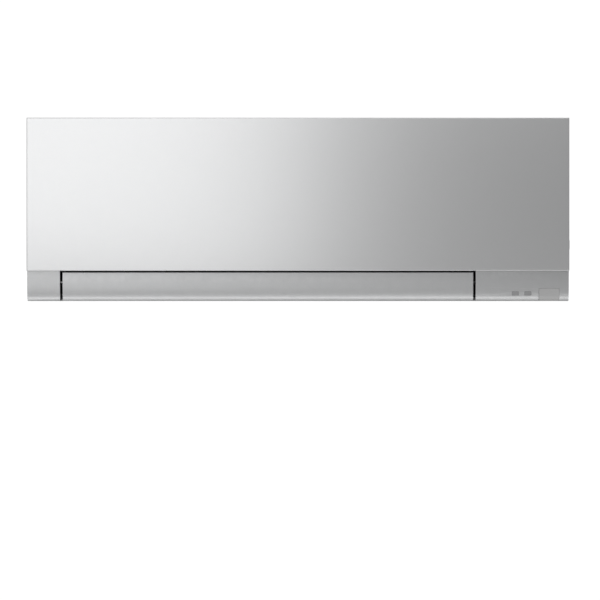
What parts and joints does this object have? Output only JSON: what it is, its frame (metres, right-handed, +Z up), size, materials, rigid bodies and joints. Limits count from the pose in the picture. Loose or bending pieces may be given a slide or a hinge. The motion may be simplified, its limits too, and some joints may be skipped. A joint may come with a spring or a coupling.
{
  "type": "mini split indoor unit",
  "caption": "Flat-front wall-mounted air conditioner indoor unit with a hinged front panel, tilting air vanes, swinging louvres and a cross-flow fan.",
  "frame": {"origin": "middle of the rear face of the mounting plate, which lies against the wall", "axes": "+Y into the wall, so the front looks along -Y; +X to the right seen from the front; +Z up"},
  "size_m": [0.8863, 0.195, 0.299],
  "materials": {
    "silver": "fine satin metallic paint",
    "light": "satin moulding",
    "dark": "fine matt grain",
    "grey": "matt moulding",
    "white": "satin moulding",
    "foam": "closed-cell foam",
    "smoked": "tinted and glossy",
    "rubber": "matt",
    "aluminium": "bare fins",
    "galvanised": "zinc coated",
    "copper": "bare copper",
    "brass": "turned",
    "steel": "plain",
    "board": "solder mask"
  },
  "bodies": {
    "housing": {"mounting_plate": "galvanised", "rear_casing": "dark", "pipe_bar": "dark", "front_casing": "light", "top_grille": "light", "left_corner_cover": "silver", "right_corner_cover": "silver", "receiver_window": "smoked", "display_board": "board", "lamp_lens_1": "smoked", "lamp_lens_2": "smoked", "outlet_frame": "dark", "drain_insulation": "foam", "drain_spigot": "grey", "coil_front_lower": "aluminium", "coil_front_upper": "aluminium", "coil_rear": "aluminium", "coil_end_plate_left": "galvanised", "coil_end_plate_right": "galvanised", "coil_sensor": "copper", "gas_pipe": "copper", "liquid_pipe": "copper", "gas_flare_nut": "brass", "liquid_flare_nut": "brass", "fan_bearing_holder": "rubber", "fan_motor": "galvanised", "motor_clamp": "grey", "upper_vane_motor": "grey", "lower_vane_motor": "grey", "air_filter_left": "white", "air_filter_right": "white", "electrical_box": "grey", "electrical_box_lid": "grey", "control_board": "board", "terminal_block": "dark", "casing_screw_1": "steel", "screw_cap_1": "light", "casing_screw_2": "steel", "screw_cap_2": "light"},
    "panel": {"front_panel": "silver"},
    "front_vane": {"upper_vane": "silver", "upper_vane_sleeve": "dark"},
    "flap": {"lower_vane": "silver", "lower_vane_sleeve": "dark"},
    "fan": {"fan_rotor": "dark", "fan_shaft": "steel"},
    "button": {"service_button": "white"},
    "louvre_left_1": {"louvre_left_1": "dark"},
    "louvre_left_2": {"louvre_left_2": "dark"},
    "louvre_left_3": {"louvre_left_3": "dark"},
    "louvre_left_4": {"louvre_left_4": "dark"},
    "louvre_left_5": {"louvre_left_5": "dark"},
    "link_left": {"link_bar_left": "dark"},
    "louvre_right_1": {"louvre_right_1": "dark"},
    "louvre_right_2": {"louvre_right_2": "dark"},
    "louvre_right_3": {"louvre_right_3": "dark"},
    "louvre_right_4": {"louvre_right_4": "dark"},
    "louvre_right_5": {"louvre_right_5": "dark"},
    "link_right": {"link_bar_right": "dark"}
  },
  "joints": [
    {"name": "panel_hinge", "type": "hinge", "parent": "housing", "child": "panel", "pos_m": [0, -0.1855, 0.1438], "axis": [-1, 0, 0], "range_deg": [0, 75]},
    {"name": "upper_vane_tilt", "type": "hinge", "parent": "housing", "child": "front_vane", "pos_m": [-0.3846, -0.171, -0.1186], "axis": [-1, 0, 0], "range_deg": [0, 75]},
    {"name": "lower_vane_tilt", "type": "hinge", "parent": "housing", "child": "flap", "pos_m": [-0.3846, -0.1319, -0.139], "axis": [1, 0, 0], "range_deg": [0, 55]},
    {"name": "fan_spin", "type": "hinge", "parent": "housing", "child": "fan", "pos_m": [0, -0.09, -0.03798], "axis": [1, 0, 0], "continuous": true},
    {"name": "service_button_press", "type": "slide", "parent": "housing", "child": "button", "axis": [0, 1, 0], "range_m": [0, 0.0015], "stiffness_N_per_m": 400},
    {"name": "louvre_left_1_swing", "type": "hinge", "parent": "housing", "child": "louvre_left_1", "pos_m": [-0.35484, -0.15236, -0.0759], "axis": [0, 0.4926, -0.8703], "range_deg": [-35, 35]},
    {"name": "louvre_left_2_swing", "type": "hinge", "parent": "housing", "child": "louvre_left_2", "pos_m": [-0.28692, -0.15236, -0.0759], "axis": [0, 0.4926, -0.8703], "range_deg": [-35, 35]},
    {"name": "louvre_left_3_swing", "type": "hinge", "parent": "housing", "child": "louvre_left_3", "pos_m": [-0.219, -0.15236, -0.0759], "axis": [0, 0.4926, -0.8703], "range_deg": [-35, 35]},
    {"name": "louvre_left_4_swing", "type": "hinge", "parent": "housing", "child": "louvre_left_4", "pos_m": [-0.15108, -0.15236, -0.0759], "axis": [0, 0.4926, -0.8703], "range_deg": [-35, 35]},
    {"name": "louvre_left_5_swing", "type": "hinge", "parent": "housing", "child": "louvre_left_5", "pos_m": [-0.08316, -0.15236, -0.0759], "axis": [0, 0.4926, -0.8703], "range_deg": [-35, 35]},
    {"name": "link_left_pin", "type": "hinge", "parent": "louvre_left_1", "child": "link_left", "pos_m": [-0.35484, -0.14678, -0.10606], "axis": [0, 0.4926, -0.8703], "range_deg": [-35, 35]},
    {"name": "louvre_right_1_swing", "type": "hinge", "parent": "housing", "child": "louvre_right_1", "pos_m": [-0.01524, -0.15236, -0.0759], "axis": [0, 0.4926, -0.8703], "range_deg": [-35, 35]},
    {"name": "louvre_right_2_swing", "type": "hinge", "parent": "housing", "child": "louvre_right_2", "pos_m": [0.05268, -0.15236, -0.0759], "axis": [0, 0.4926, -0.8703], "range_deg": [-35, 35]},
    {"name": "louvre_right_3_swing", "type": "hinge", "parent": "housing", "child": "louvre_right_3", "pos_m": [0.1206, -0.15236, -0.0759], "axis": [0, 0.4926, -0.8703], "range_deg": [-35, 35]},
    {"name": "louvre_right_4_swing", "type": "hinge", "parent": "housing", "child": "louvre_right_4", "pos_m": [0.18852, -0.15236, -0.0759], "axis": [0, 0.4926, -0.8703], "range_deg": [-35, 35]},
    {"name": "louvre_right_5_swing", "type": "hinge", "parent": "housing", "child": "louvre_right_5", "pos_m": [0.25644, -0.15236, -0.0759], "axis": [0, 0.4926, -0.8703], "range_deg": [-35, 35]},
    {"name": "link_right_pin", "type": "hinge", "parent": "louvre_right_1", "child": "link_right", "pos_m": [-0.01524, -0.14678, -0.10606], "axis": [0, 0.4926, -0.8703], "range_deg": [-35, 35]}
  ],
  "couplings": [
    {"joint": "louvre_left_2_swing", "follows": "louvre_left_1_swing", "ratio": 1},
    {"joint": "louvre_left_3_swing", "follows": "louvre_left_1_swing", "ratio": 1},
    {"joint": "louvre_left_4_swing", "follows": "louvre_left_1_swing", "ratio": 1},
    {"joint": "louvre_left_5_swing", "follows": "louvre_left_1_swing", "ratio": 1},
    {"joint": "link_left_pin", "follows": "louvre_left_1_swing", "ratio": -1},
    {"joint": "louvre_right_2_swing", "follows": "louvre_right_1_swing", "ratio": 1},
    {"joint": "louvre_right_3_swing", "follows": "louvre_right_1_swing", "ratio": 1},
    {"joint": "louvre_right_4_swing", "follows": "louvre_right_1_swing", "ratio": 1},
    {"joint": "louvre_right_5_swing", "follows": "louvre_right_1_swing", "ratio": 1},
    {"joint": "link_right_pin", "follows": "louvre_right_1_swing", "ratio": -1}
  ]
}
